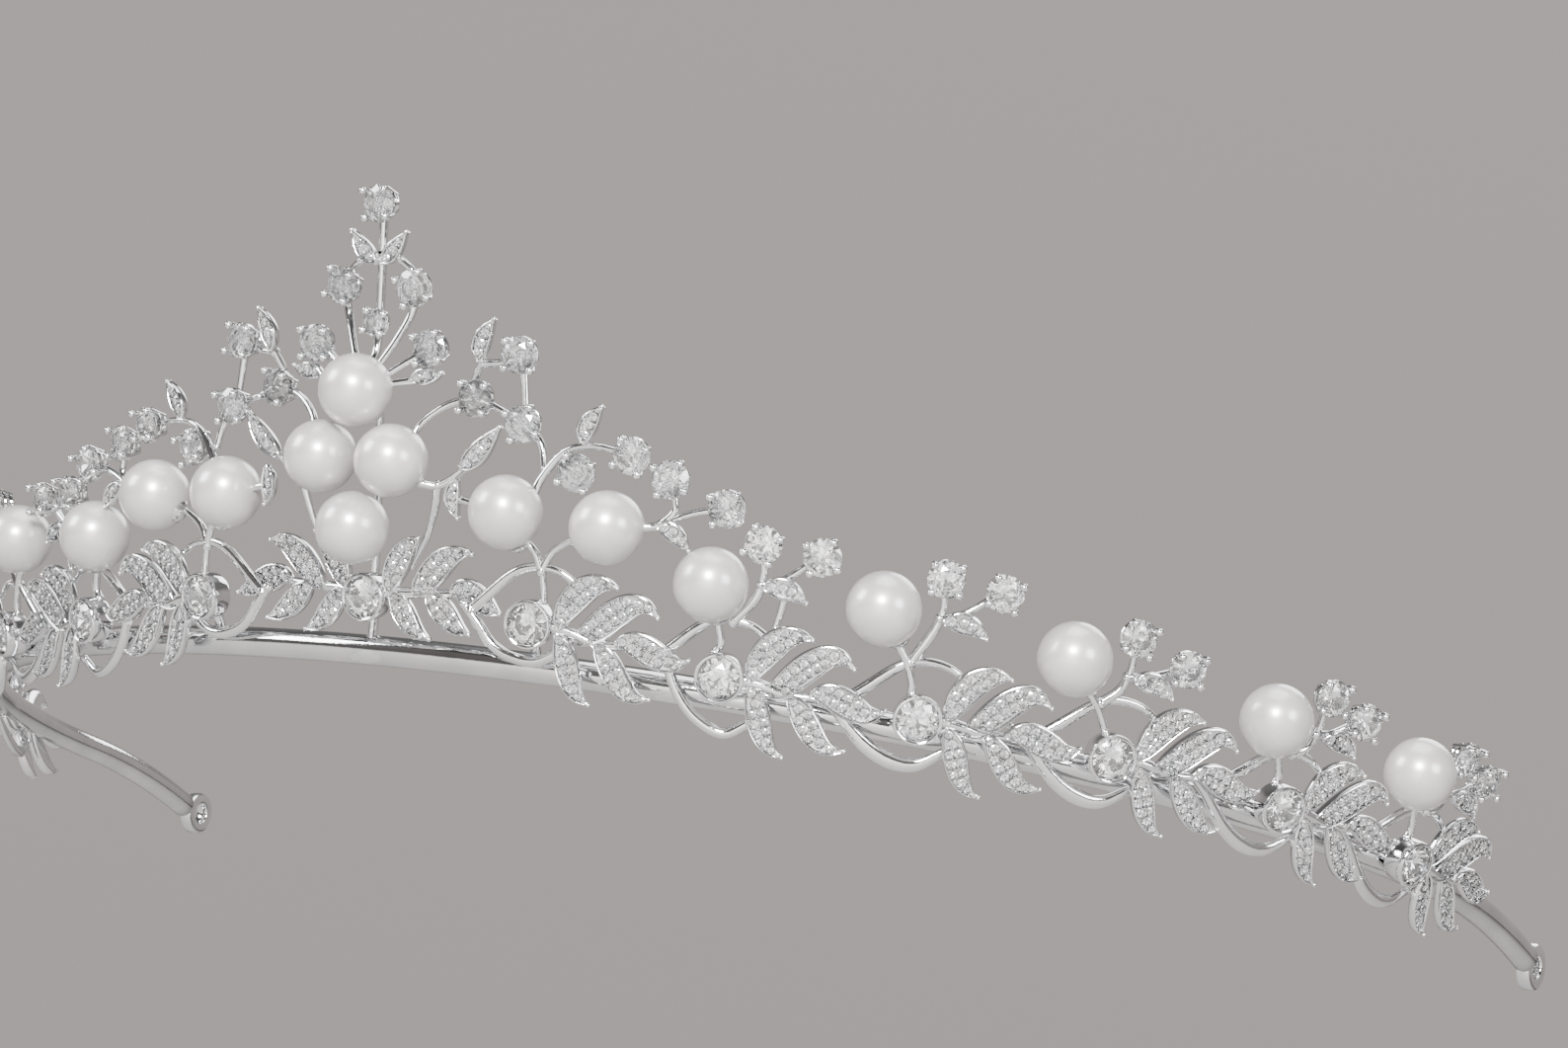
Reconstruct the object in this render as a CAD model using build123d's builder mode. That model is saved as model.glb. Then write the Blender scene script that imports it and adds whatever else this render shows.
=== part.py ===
"""A bridal tiara: a round band wire that carries a row of pave sprays, bezels, pearls and claw-set stones.

The garland lies on a leaning surface that stands on an ellipse. A place on it is given by s, the way
along the ellipse from the front (towards +X), h, the way up the lean, and out, the way off the surface.
Units are millimetres. +Z is up, the front faces -Y, and the origin is the middle of the head seat.
"""

import math
import os

from build123d import *

os.makedirs("parts", exist_ok=True)

# Driving dimensions
HEAD_HALF_WIDTH = 75.0
HEAD_HALF_DEPTH = 65.0
CROWN_LEAN = 21.0
HEAD_ARC = 170.0

BAND_DIAMETER = 2.5
BAND_SETBACK = 2.5
BAND_BEND_REACH = 108.0
BAND_REACH = 126.0
BAND_END_DROP = 1.8
EYE_RADIUS = 2.1
EYE_HOLE_RADIUS = 1.0
EYE_THICKNESS = 1.4
EYE_OVERLAP = 0.3

STATIONS = 6
STATION_PITCH = 15.7
BEZEL_RISES = (4.5, 4.0, 2.0, 1.6, 2.0, 1.7, 1.0)

PEARL_RADIUS = 3.0
PEG_DIAMETER = 0.9
PEG_DEPTH = 1.6
CUP_RADIUS = 1.0
CUP_FOOT = 0.35

BEZEL_RADIUS = 2.0
BEZEL_RIM = 0.32
BEZEL_TOP = 1.1
BEZEL_BACK = -1.1
BEZEL_HOLE_RADIUS = 0.55
BEZEL_CHAMFER = 0.1
STONE_SINK = 0.45
STONE_CLEARANCE = 0.02

CLAW_STONE_RADIUS = 1.5
SMALL_STONE_RADIUS = 1.1
CLAW_COUNT = 4
CLAW_DIAMETER = 0.5
CLAW_BALL_RADIUS = 0.36
CLAW_BALL_LEVEL = 0.6
RING_THICKNESS = 0.45
RING_GAP = 0.05
RING_HOLE_SHARE = 0.42
RING_SLOPE = 0.35

LEAF_THICKNESS = 1.2
LEAF_RIM = 0.2
TRAY_DEPTH = 0.35
PAVE_RADIUS = 0.35
PAVE_HEIGHT = 0.3
PAVE_EDGE = 0.1
PAVE_GAP = 0.02
PAVE_PITCH = 0.8

WIRE_DIAMETER = 0.9
WIRE_LEVEL = -0.9
STEM_DIAMETER = 1.0
STEM_LEVEL = -0.3
ENVELOPE_DEPTH = 1.6
SMALLEST_PIECE = 0.05
CENTRE_SETBACK = -1.8

# Cut proportions of a round brilliant, as fractions of its radius
TABLE_RADIUS = 0.57
CROWN_HEIGHT = 0.30
GIRDLE_HEIGHT = 0.05
PAVILION_DEPTH = 0.86


# Places on the leaning surface
with BuildLine() as head_line:
    EllipticalCenterArc((0, 0), HEAD_HALF_WIDTH, HEAD_HALF_DEPTH, start_angle=-90, arc_size=HEAD_ARC)

HEAD_EDGE = head_line.edges()[0]
LEAN_UP = math.cos(math.radians(CROWN_LEAN))
LEAN_OUT = math.sin(math.radians(CROWN_LEAN))


def head_tangent(s):
    """The direction along the head line at s, which is negative on the wearer's other side."""
    along = HEAD_EDGE.tangent_at(abs(s), position_mode=PositionMode.LENGTH)
    return along if s >= 0 else Vector(along.X, -along.Y, 0)


def outward(s):
    """The level direction away from the head at s."""
    along = head_tangent(s)
    return Vector(along.Y, -along.X, 0)


def spot(s, h, out=0.0):
    """A point on the garland's surface, or off it by out."""
    foot = HEAD_EDGE.position_at(abs(s), position_mode=PositionMode.LENGTH)
    if s < 0:
        foot = Vector(-foot.X, foot.Y, 0)
    away = h * LEAN_OUT + out * LEAN_UP
    return foot + outward(s) * away + Vector(0, 0, h * LEAN_UP - out * LEAN_OUT)


def seat(s, h, out=0.0):
    """The plane that faces outwards there, with its x axis along the band and its y axis up the lean."""
    facing = outward(s) * LEAN_UP - Vector(0, 0, LEAN_OUT)
    return Plane(origin=spot(s, h, out), x_dir=head_tangent(s), z_dir=facing)


# Stones and their settings, each drawn once about its own axis
def brilliant(radius):
    """A round stone with its girdle on the XY plane and its table up."""
    with BuildPart(mode=Mode.PRIVATE) as stone:
        with BuildSketch(Plane.XZ):
            with BuildLine():
                Polyline(
                    (0, -PAVILION_DEPTH * radius),
                    (radius, 0),
                    (radius, GIRDLE_HEIGHT * radius),
                    (TABLE_RADIUS * radius, CROWN_HEIGHT * radius),
                    (0, CROWN_HEIGHT * radius),
                    close=True,
                )
            make_face()
        revolve(axis=Axis.Z)
    return stone.part


def flat_stone(radius):
    """A pave stone: only the part above the tray's floor, standing on the XY plane."""
    with BuildPart(mode=Mode.PRIVATE) as stone:
        with BuildSketch(Plane.XZ):
            with BuildLine():
                Polyline(
                    (0, 0),
                    (radius, 0),
                    (radius, PAVE_EDGE),
                    (TABLE_RADIUS * radius, PAVE_HEIGHT),
                    (0, PAVE_HEIGHT),
                    close=True,
                )
            make_face()
        revolve(axis=Axis.Z)
    return stone.part


def bezel_cup():
    """An open cup with a thin rim and a cone that the stone's underside rests in."""
    bore = BEZEL_RADIUS - BEZEL_RIM
    edge = BEZEL_RADIUS - BEZEL_CHAMFER
    ledge = BEZEL_TOP - STONE_SINK - STONE_CLEARANCE
    with BuildPart(mode=Mode.PRIVATE) as cup:
        with BuildSketch(Plane.XZ):
            with BuildLine():
                Polyline(
                    (BEZEL_HOLE_RADIUS, BEZEL_BACK),
                    (edge, BEZEL_BACK),
                    (BEZEL_RADIUS, BEZEL_BACK + BEZEL_CHAMFER),
                    (BEZEL_RADIUS, BEZEL_TOP - BEZEL_CHAMFER),
                    (edge, BEZEL_TOP),
                    (bore, BEZEL_TOP),
                    (bore, ledge),
                    (BEZEL_HOLE_RADIUS, ledge - PAVILION_DEPTH * (bore - BEZEL_HOLE_RADIUS)),
                    close=True,
                )
            make_face()
        revolve(axis=Axis.Z)
    return cup.part


def claw_basket(radius):
    """A ring with four upright claws, each ending in a small ball outside the stone's girdle."""
    claw_circle = radius + CLAW_DIAMETER / 2 + STONE_CLEARANCE
    ring_back = -PAVILION_DEPTH * radius - RING_GAP
    ring_inside = RING_HOLE_SHARE * radius
    with BuildPart(mode=Mode.PRIVATE) as basket:
        with BuildSketch(Plane.XZ):
            with BuildLine():
                Polyline(
                    (ring_inside, ring_back),
                    (claw_circle, ring_back),
                    (claw_circle, ring_back + RING_THICKNESS),
                    (ring_inside + RING_SLOPE, ring_back + RING_THICKNESS),
                    close=True,
                )
            make_face()
        revolve(axis=Axis.Z)
        with BuildSketch(Plane.XY.offset(ring_back)):
            with PolarLocations(claw_circle, CLAW_COUNT, start_angle=45):
                Circle(CLAW_DIAMETER / 2)
        extrude(amount=CLAW_BALL_LEVEL - ring_back)
        with Locations(Location((0, 0, CLAW_BALL_LEVEL))):
            with PolarLocations(claw_circle, CLAW_COUNT, start_angle=45):
                Sphere(CLAW_BALL_RADIUS)
    return basket.part


CUP = bezel_cup()
BEZEL_STONE = brilliant(BEZEL_RADIUS - BEZEL_RIM - STONE_CLEARANCE)
PAVE_STONE = flat_stone(PAVE_RADIUS)
BASKETS = {radius: claw_basket(radius) for radius in (CLAW_STONE_RADIUS, SMALL_STONE_RADIUS)}
CLAW_STONES = {radius: brilliant(radius) for radius in (CLAW_STONE_RADIUS, SMALL_STONE_RADIUS)}
BEZEL_STONE_LEVEL = BEZEL_TOP - STONE_SINK


def leaf_axis(leaf):
    """The leaf's plane, and its middle line from base to tip as three points of that plane."""
    base, middle, tip, width, out = leaf
    plane = seat(*middle, out)
    points = [plane.to_local_coords(spot(*place, out)) for place in (base, middle, tip)]
    return plane, [Vector(point.X, point.Y, 0) for point in points], width


def leaf_plate(leaf):
    """A curved blade with a raised rim around a tray for its pave stones."""
    plane, (base, middle, tip), width = leaf_axis(leaf)
    across = (tip - base).normalized().rotate(Axis.Z, 90) * (width / 2)
    with BuildPart(mode=Mode.PRIVATE) as plate:
        with BuildSketch(plane.offset(-LEAF_THICKNESS / 2)) as outline:
            with BuildLine():
                ThreePointArc(base, middle + across, tip)
                ThreePointArc(tip, middle - across, base)
            make_face()
        extrude(amount=LEAF_THICKNESS)
        with BuildSketch(plane.offset(LEAF_THICKNESS / 2)):
            add(outline.sketch_local)
            offset(amount=-LEAF_RIM, mode=Mode.REPLACE)
        extrude(amount=-TRAY_DEPTH, mode=Mode.SUBTRACT)
    return plate.part


def pave_places(leaf):
    """Where the leaf's stones sit: two abreast where it is wide enough, one where it narrows."""
    plane, (base, middle, tip), width = leaf_axis(leaf)
    with BuildLine(mode=Mode.PRIVATE) as spine:
        ThreePointArc(base, middle, tip)
    line = spine.edges()[0]
    rows = max(2, round(line.length / PAVE_PITCH) - 1)
    floor = LEAF_THICKNESS / 2 - TRAY_DEPTH + PAVE_GAP / 2
    places = []
    for row in range(1, rows + 1):
        along = row / (rows + 1)
        room = width * math.sin(math.pi * along) - 2 * LEAF_RIM
        centre = line.position_at(along)
        side = line.tangent_at(along).rotate(Axis.Z, 90) * (PAVE_RADIUS + PAVE_GAP)
        if room > 4 * (PAVE_RADIUS + PAVE_GAP):
            spots = (centre + side, centre - side)
        elif room > 2 * PAVE_RADIUS:
            spots = (centre,)
        else:
            spots = ()
        places += [plane.offset(floor).from_local_coords(point) for point in spots]
    facing = plane.z_dir
    return [Plane(origin=point, z_dir=facing).location for point in places]


def wire(places, diameter=WIRE_DIAMETER):
    """A round wire that runs through the places: one arc, then arcs that carry straight on from it."""
    points = [spot(*place) for place in places]
    with BuildPart(mode=Mode.PRIVATE) as bent:
        with BuildLine() as path:
            if len(points) == 2:
                Line(points[0], points[1])
            else:
                last = ThreePointArc(*points[:3])
                for point in points[3:]:
                    last = TangentArc(last @ 1, point, tangent=last % 1)
        with BuildSketch(Plane(origin=path.wire() @ 0, z_dir=path.wire() % 0)):
            Circle(diameter / 2)
        sweep(path=path.wire())
    return bent.part


def pearl_cup(place, root):
    """The shallow cup and the peg that a pearl is glued on, facing away from root."""
    centre = spot(*place)
    away = (centre - spot(*root)).normalized()
    with BuildPart(mode=Mode.PRIVATE) as cup:
        with BuildSketch(Plane(origin=centre - away * (PEARL_RADIUS + CUP_FOOT), z_dir=away)):
            Circle(CUP_RADIUS)
        extrude(amount=CUP_RADIUS)
        with Locations(Location(centre)):
            Sphere(PEARL_RADIUS, mode=Mode.SUBTRACT)
        with BuildSketch(Plane(origin=centre - away * (PEARL_RADIUS + CUP_FOOT / 2), z_dir=away)):
            Circle(PEG_DIAMETER / 2)
        extrude(amount=CUP_FOOT / 2 + PEG_DEPTH)
    return cup.part


# The garland's design. Leaves, wires and stones of one station are placed from its bezel.
# A leaf is its base, middle and tip, then its width.
SPRAY_LEAVES = (
    ((2.4, 0.0), (3.7, 2.7), (6.3, 4.5), 2.2),
    ((3.9, -0.4), (6.7, 2.3), (10.0, 3.3), 2.3),
    ((7.5, 0.2), (10.3, 0.2), (13.1, 0.5), 2.2),
    ((2.5, -0.1), (3.7, -2.9), (6.0, -5.0), 1.9),
    ((5.6, -0.2), (7.9, -2.5), (10.8, -3.5), 2.0),
)
CENTRE_SPRAY_LEAVES = (
    ((2.2, 0.6), (3.8, 3.1), (4.9, 5.1), 2.0),
    ((4.6, 0.6), (7.1, 3.2), (9.7, 4.3), 2.2),
    ((8.2, 1.0), (10.5, 0.8), (12.6, -0.2), 2.1),
    ((2.3, 0.5), (3.8, -1.4), (6.1, -2.9), 1.9),
    ((5.8, 0.6), (7.9, -1.0), (9.9, -2.1), 2.0),
)
CENTRE_SPRAY_STEM = ((1.6, 0.4), (5.0, 0.5), (9.0, 1.0))
SPRAY_STEM = ((1.6, 0.1), (5.0, -0.25), (8.6, 0.35))
ARCH = ((-4.7, 1.2), (-0.9, 4.5), (3.1, 3.6))
SCROLL = ((-6.2, -0.9), (-1.2, -3.9), (2.8, -2.2))
FRONT_SCROLLS = {1: ((-5.0, -0.6), (-2.2, -2.9), (2.3, -2.0)), 2: ((-4.3, -0.3), (-1.7, -3.7), (2.6, -3.5))}
TWIG = ((-1.2, 4.3), (-0.2, 6.6), (0.1, 10.0))
TWIG_FORK = (0.0, 8.2)
TWIG_STONE = (-0.1, 11.3)
TWIG_LEAF = ((0.5, 8.0), (2.1, 7.8), (3.7, 7.2), 1.5)

# From its bezel, each station's pearl, and how far its twig is moved from the one above
PEARL_PLACES = (None, (-2.7, 8.6), (-1.7, 7.1), (-4.2, 8.0), (-4.9, 6.9), (-3.1, 6.6), (-3.3, 7.0))
TWIG_MOVES = (None, None, (1.9, -0.4), (0.0, 0.0), (-0.4, -1.6), (1.1, -1.6), (1.4, -1.8))

# Where the stone on each twig's side branch sits
BRANCH_STONES = (None, None, (4.4, 11.1), (4.4, 11.1), (4.4, 9.9), (3.7, 10.3), (3.7, 10.3))

# How far each station's spray is turned about its bezel, in degrees, to follow the garland down
SPRAY_TURNS = (0.0, -7.0, -3.5, 0.0, 0.0, 0.0, 0.0)

# The first station's tall cluster and the second pearl beside it, placed from the front of the band
SECOND_PEARL = (21.2, 12.35, 0.0)
SECOND_PEARL_ROOT = (16.7, 9.6, WIRE_LEVEL)
TALL_STONES = (
    (12.6, 25.0, -2.0),
    (9.1, 21.2, -2.0),
    (13.4, 19.6, -1.4),
    (18.0, 16.2, -1.3),
    (22.4, 18.2, -0.6),
)
TALL_LEAVES = (
    ((9.4, 24.4), (9.8, 25.9), (10.3, 27.6), 1.5, -2.0),
    ((8.6, 15.8), (10.1, 17.2), (11.5, 19.0), 1.7, -1.5),
    ((18.6, 18.9), (19.0, 20.2), (19.7, 21.7), 1.5, -1.0),
    ((8.8, 14.7), (8.5, 13.3), (9.0, 11.8), 1.3, 0.0),
)
TALL_WIRES = (
    ((9.1, 21.2, -2.9), (8.9, 23.0, -2.9), (9.5, 24.8, -2.7)),
    ((9.3, 23.8, -2.9), (12.6, 25.0, -2.9)),
    ((9.1, 21.2, -2.9), (13.4, 19.6, -2.3)),
    ((12.6, 25.0, -2.9), (13.4, 19.6, -2.3)),
    ((13.4, 19.6, -2.3), (14.6, 18.3, -2.2), (15.3, 16.2, -1.6)),
    ((9.1, 21.2, -2.9), (6.4, 20.2, -2.0), (4.0, 17.2, -0.4)),
    ((14.6, 13.8, -0.9), (16.6, 17.4, -1.6), (22.0, 18.3, -1.5)),
    ((16.6, 17.3, -1.9), (18.0, 16.2, -2.2)),
    ((4.6, 14.6, -0.6), (6.8, 14.1, -1.8), (9.2, 16.3, -2.2)),
    ((6.2, 13.9, -1.8), (5.8, 10.6, -2.2), (4.6, 7.8, -2.5)),
    ((16.0, 7.9, -0.9), (15.0, 9.6, -0.9), (13.4, 12.0, -0.4)),
    ((16.0, 8.0, -0.9), SECOND_PEARL_ROOT, (20.4, 12.0, -0.4)),
    ((16.4, 5.2, -0.9), (16.3, 6.8, -0.9), (16.0, 8.4, -0.9)),
    ((8.7, 13.2, -0.7), (12.0, 12.8, 0.0)),
)

# The second station also carries two stones and a leaf on a long curved wire from the second pearl
LINK_STONES = ((25.6, 16.8, -0.4), (30.1, 15.2, -0.2))
LINK_LEAVES = (((25.2, 13.2), (26.4, 12.6), (27.5, 11.6), 1.4, 0.0),)
LINK_WIRES = (
    ((22.6, 12.7, -0.4), (26.2, 13.6, -0.9), (29.8, 15.1, -1.1)),
    ((25.2, 13.2, -0.9), (26.0, 14.6, -1.1), (25.7, 16.5, -1.3)),
)

# The centre: four pearls in a lozenge and the spire above them
CENTRE_PEARLS = ((0.0, 21.4, 0.2), (3.2, 15.9, 0.2), (-3.2, 15.9, 0.2), (0.0, 10.3, 0.6))
CENTRE_BAR_LEVEL = -3.3
SPIRE_STONES = (
    (0.0, 36.3, -3.0),
    (3.2, 29.6, -2.8),
    (-3.2, 29.6, -2.8),
    (5.1, 24.9, -2.0),
    (-5.1, 24.9, -2.0),
)
SPIRE_SMALL_STONE = (0.0, 26.7, -2.6)
SPIRE_LEAVES = (
    ((0.3, 31.9), (1.2, 32.9), (2.3, 34.0), 1.3, -3.2),
    ((4.2, 22.3), (5.3, 22.5), (6.4, 23.0), 1.3, -1.4),
)
SPIRE_SIDE_WIRES = (
    ((0.0, 32.0, -3.8), (1.9, 31.6, -3.8), (3.2, 29.6, -3.7)),
    ((3.2, 29.6, -3.7), (2.2, 26.4, -3.0), (0.9, 22.8, -1.4)),
    ((5.1, 24.9, -2.9), (1.8, 22.6, -1.2)),
    ((4.6, 22.4, -1.9), (1.6, 21.8, -0.8)),
)
CENTRE_WIRES = (
    ((0.0, 22.6, -1.4), (0.0, 24.2, -2.7), (0.0, 26.7, -3.2), (0.0, 36.2, -3.9)),
    ((0.0, 22.2, CENTRE_BAR_LEVEL), (0.0, 16.0, CENTRE_BAR_LEVEL), (0.0, 10.3, -3.0), (0.0, 5.8, -2.7)),
    ((3.2, 15.9, CENTRE_BAR_LEVEL), (-3.2, 15.9, CENTRE_BAR_LEVEL)),
)


def turned(places, degrees):
    """The same places, turned about the pattern's own zero."""
    turn = math.radians(degrees)
    across, up = math.cos(turn), math.sin(turn)
    return tuple((x * across - y * up, x * up + y * across) for x, y in places)


def moved(places, along, up, out):
    """The same places, measured from (along, up, out)."""
    return tuple((along + x, up + y, out) for x, y in places)


def moved_leaf(leaf, along, up, out):
    """A leaf of the pattern, measured from (along, up, out)."""
    *places, width = leaf
    return (*((along + x, up + y) for x, y in places), width, out)


def other_side(places):
    """The mirror image of the places, on the other side of the front."""
    return tuple((-s, h, out) for s, h, out in places)


def leaf_other_side(leaf):
    """The mirror image of one leaf."""
    *places, width, out = leaf
    return (*((-s, h) for s, h in places), width, out)


def bezel_place(station):
    """Where a station's bezel sits. The centre one stands a little behind the pearls."""
    return station * STATION_PITCH, BEZEL_RISES[station], CENTRE_SETBACK if station == 0 else 0.0


def pearl_place(station):
    """Where a side station's own pearl sits."""
    s, h, out = bezel_place(station)
    along, up = PEARL_PLACES[station]
    return s + along, h + up, out


def post_places(station):
    """The short post that braces a bezel's back to the band."""
    s, h, out = bezel_place(station)
    return (s, h - 1.0, out + BEZEL_BACK + 0.1), (s, 0.0, -BAND_SETBACK)


def twig_branch(station):
    """The side branch of a station's twig, from the fork to just under its stone."""
    s, h = BRANCH_STONES[station]
    fork_s, fork_h = TWIG_FORK
    return TWIG_FORK, (fork_s + 0.43 * s, fork_h + 0.28 * (h - fork_h)), (s - 1.0, h - 0.6)


def pearl_stem(station):
    """The wire from the top of a bezel to the pearl over it."""
    s, h, _ = bezel_place(station)
    along, up = PEARL_PLACES[station]
    return (s - 0.7, h + 1.6, WIRE_LEVEL), (s + 0.33 * along, h + 0.5 * up, WIRE_LEVEL), pearl_place(station)


# What each station is made of: leaves, stones with their sizes, wires, and pearls with their roots
def spray(station):
    """One spray: five leaves on a stem that starts at the bezel."""
    s, h, out = bezel_place(station)
    pattern, stem = (CENTRE_SPRAY_LEAVES, CENTRE_SPRAY_STEM) if station == 0 else (SPRAY_LEAVES, SPRAY_STEM)
    turn = SPRAY_TURNS[station]
    leaves = [moved_leaf((*turned(places, turn), width), s, h, out) for *places, width in pattern]
    return leaves, moved(turned(stem, turn), s, h, out + STEM_LEVEL)


def side_design(station):
    """The loose leaves, stones, wires and pearls of one side station."""
    s, h, out = bezel_place(station)
    scroll = moved(FRONT_SCROLLS.get(station, SCROLL), s, h, WIRE_LEVEL)
    arch = moved(ARCH, s, h, WIRE_LEVEL)
    wires = [scroll, arch, post_places(station)]
    pearls = [(pearl_place(station), pearl_stem(station)[1])]
    if station == 1:
        wires += TALL_WIRES
        pearls += [(SECOND_PEARL, SECOND_PEARL_ROOT)]
        return TALL_LEAVES, TALL_STONES, wires, pearls
    along, up = TWIG_MOVES[station]
    stones = moved((TWIG_STONE, BRANCH_STONES[station]), s + along, h + up, out)
    leaves = [moved_leaf(TWIG_LEAF, s + along, h + up, out)]
    wires += [moved(places, s + along, h + up, WIRE_LEVEL) for places in (TWIG, twig_branch(station))]
    wires += [pearl_stem(station)]
    if station == 2:
        leaves += LINK_LEAVES
        stones += LINK_STONES
        wires += LINK_WIRES
    return leaves, stones, wires, pearls


def spray_part(leaves, stem, bezel):
    """The blades and their stem as one casting, cut back to the bezel's wall."""
    with BuildPart(mode=Mode.PRIVATE) as casting:
        add(wire(stem, STEM_DIAMETER))
        for leaf in leaves:
            add(leaf_plate(leaf))
        add(envelope(bezel, BEZEL_RADIUS), mode=Mode.SUBTRACT)
    return casting.part


def envelope(place, radius):
    """The round space that a setting takes up, which wires stop at."""
    with BuildPart(mode=Mode.PRIVATE) as space:
        with BuildSketch(seat(*place).offset(-ENVELOPE_DEPTH)):
            Circle(radius)
        extrude(amount=2 * ENVELOPE_DEPTH)
    return space.part


def ball(place):
    """One pearl, before it is drilled."""
    with BuildPart(mode=Mode.PRIVATE) as pearl:
        with Locations(Location(spot(*place))):
            Sphere(PEARL_RADIUS)
    return pearl.part


def grouped(solids):
    """The solids together in one part."""
    with BuildPart(mode=Mode.PRIVATE) as group:
        add(solids)
    return group.part


def write(part, name):
    """Label a finished piece and write its file."""
    part.label = name
    export_step(part, f"parts/{name}.step")


def write_pair(part, name):
    """Write a right-hand piece and its mirror image on the left."""
    write(part, f"{name}_right")
    with BuildPart() as left:
        mirror(part, about=Plane.YZ)
    write(left.part, f"{name}_left")


def build_station(bezel, sprays, loose_leaves, stones, wires, pearls, neighbours):
    """Build one station's leaves, settings, stones, pearls and frame, with every joint cut to meet."""
    castings = [spray_part(leaves, stem, bezel) for leaves, stem in sprays]
    castings += [leaf_plate(leaf) for leaf in loose_leaves]
    all_leaves = [leaf for leaves, _ in sprays for leaf in leaves] + list(loose_leaves)
    cups = [pearl_cup(place, root) for place, root in pearls]
    balls = [ball(place) for place, _ in pearls]
    spaces = [envelope(bezel, BEZEL_RADIUS)]
    spaces += [envelope(place, radius + CLAW_DIAMETER / 2) for place, radius in stones]
    with BuildPart() as settings:
        with Locations(seat(*bezel).location):
            add(CUP)
        for place, radius in stones:
            with Locations(seat(*place).location):
                add(BASKETS[radius])
        add(cups)
    with BuildPart() as gems:
        with Locations(seat(*bezel).offset(BEZEL_STONE_LEVEL).location):
            add(BEZEL_STONE)
        for place, radius in stones:
            with Locations(seat(*place).location):
                add(CLAW_STONES[radius])
        with Locations(*[place for leaf in all_leaves for place in pave_places(leaf)]):
            add(PAVE_STONE)
    with BuildPart() as drilled:
        add(balls)
        add(cups, mode=Mode.SUBTRACT)
    with BuildPart() as frame:
        for places in wires:
            add(wire(places))
        add([band.part, settings.part, *castings, *spaces, *balls, *neighbours], mode=Mode.SUBTRACT)
    pieces = frame.solids().filter_by(lambda solid: solid.volume > SMALLEST_PIECE)
    solids = castings + spaces + balls
    return grouped(castings), settings.part, gems.part, drilled.part, grouped(pieces), solids


# The band, one wire that the head sits in. Its last stretch on each side runs back and dips a little.
band_inset = BAND_SETBACK * LEAN_UP
band_level = BAND_SETBACK * LEAN_OUT
bend_share = HEAD_EDGE.param_at_point(HEAD_EDGE.position_at(BAND_BEND_REACH, position_mode=PositionMode.LENGTH))
half_angle = HEAD_ARC * bend_share
end_drop = Vector(0, 0, -BAND_END_DROP)
with BuildPart() as band:
    with BuildLine() as band_path:
        bend = EllipticalCenterArc(
            (0, 0, band_level),
            HEAD_HALF_WIDTH - band_inset,
            HEAD_HALF_DEPTH - band_inset,
            start_angle=-90 - half_angle,
            arc_size=2 * half_angle,
        )
        for bend_end, bend_run in ((bend @ 0, (bend % 0) * -1), (bend @ 1, bend % 1)):
            band_end = bend_end + bend_run * (BAND_REACH - BAND_BEND_REACH) + end_drop
            tail = TangentArc(bend_end, band_end, tangent=bend_run)
    with BuildSketch(Plane(origin=band_path.wire() @ 0, z_dir=band_path.wire() % 0)):
        Circle(BAND_DIAMETER / 2)
    sweep(path=band_path.wire())
write(band.part, "band_wire")

# The eye brazed to each end of the band, upright in line with it
band_run = tail % 1
eye_centre = band_end + band_run * (EYE_RADIUS - EYE_OVERLAP)
eye_facing = Vector(band_run.Y, -band_run.X, 0).normalized()
with BuildPart() as eye:
    with BuildSketch(Plane(origin=eye_centre - eye_facing * (EYE_THICKNESS / 2), z_dir=eye_facing)):
        Circle(EYE_RADIUS)
        Circle(EYE_HOLE_RADIUS, mode=Mode.SUBTRACT)
    extrude(amount=EYE_THICKNESS)
    add(band.part, mode=Mode.SUBTRACT)
write_pair(eye.part, "end_eye")
print("end eye centre", eye_centre, "facing", eye_facing)

# The centre station, the same on both sides
centre_bezel = bezel_place(0)
centre_spray = spray(0)
leaves, stem = centre_spray
left_spray = ([leaf_other_side(leaf) for leaf in leaves], other_side(stem))
centre_leaves = (*SPIRE_LEAVES, *(leaf_other_side(leaf) for leaf in SPIRE_LEAVES))
centre_stones = [(place, CLAW_STONE_RADIUS) for place in SPIRE_STONES]
centre_stones += [(SPIRE_SMALL_STONE, SMALL_STONE_RADIUS)]
side_wires = (*SPIRE_SIDE_WIRES, *(other_side(places) for places in SPIRE_SIDE_WIRES))
centre_wires = (*CENTRE_WIRES, *side_wires, post_places(0))
centre_pearls = [((s, h, out), (s, h, CENTRE_BAR_LEVEL)) for s, h, out in CENTRE_PEARLS]
leaves, settings, stones, pearls, frame, centre_solids = build_station(
    centre_bezel, [centre_spray, left_spray], centre_leaves, centre_stones, centre_wires, centre_pearls, []
)
write(leaves, "leaves_centre")
write(settings, "settings_centre")
write(stones, "stones_centre")
write(pearls, "pearls_centre")
write(frame, "frame_centre")

# The side stations, built on the right and mirrored
side_pearls = []
neighbours = centre_solids
for station in range(1, STATIONS + 1):
    loose_leaves, stone_places, wires, pearl_roots = side_design(station)
    leaves, settings, stones, pearls, frame, neighbours = build_station(
        bezel_place(station),
        [spray(station)],
        loose_leaves,
        [(place, CLAW_STONE_RADIUS) for place in stone_places],
        wires,
        pearl_roots,
        neighbours,
    )
    side_pearls.append(pearls)
    write_pair(leaves, f"leaves_{station}")
    write_pair(settings, f"settings_{station}")
    write_pair(stones, f"stones_{station}")
    write_pair(frame, f"frame_{station}")
write_pair(grouped(side_pearls), "pearls")
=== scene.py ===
"""The bridal tiara's looks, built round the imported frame.

The garland is designed flat, in millimetres: s runs along the band from the front, h runs up the
crown's lean, and out stands off it. spot() wraps that flat design onto the leaning ellipse that the
CAD model uses, in the frame's metres, so each piece lands on the node that it stands for.
"""

import math
import random

import bpy
from mathutils import Matrix, Vector


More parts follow.
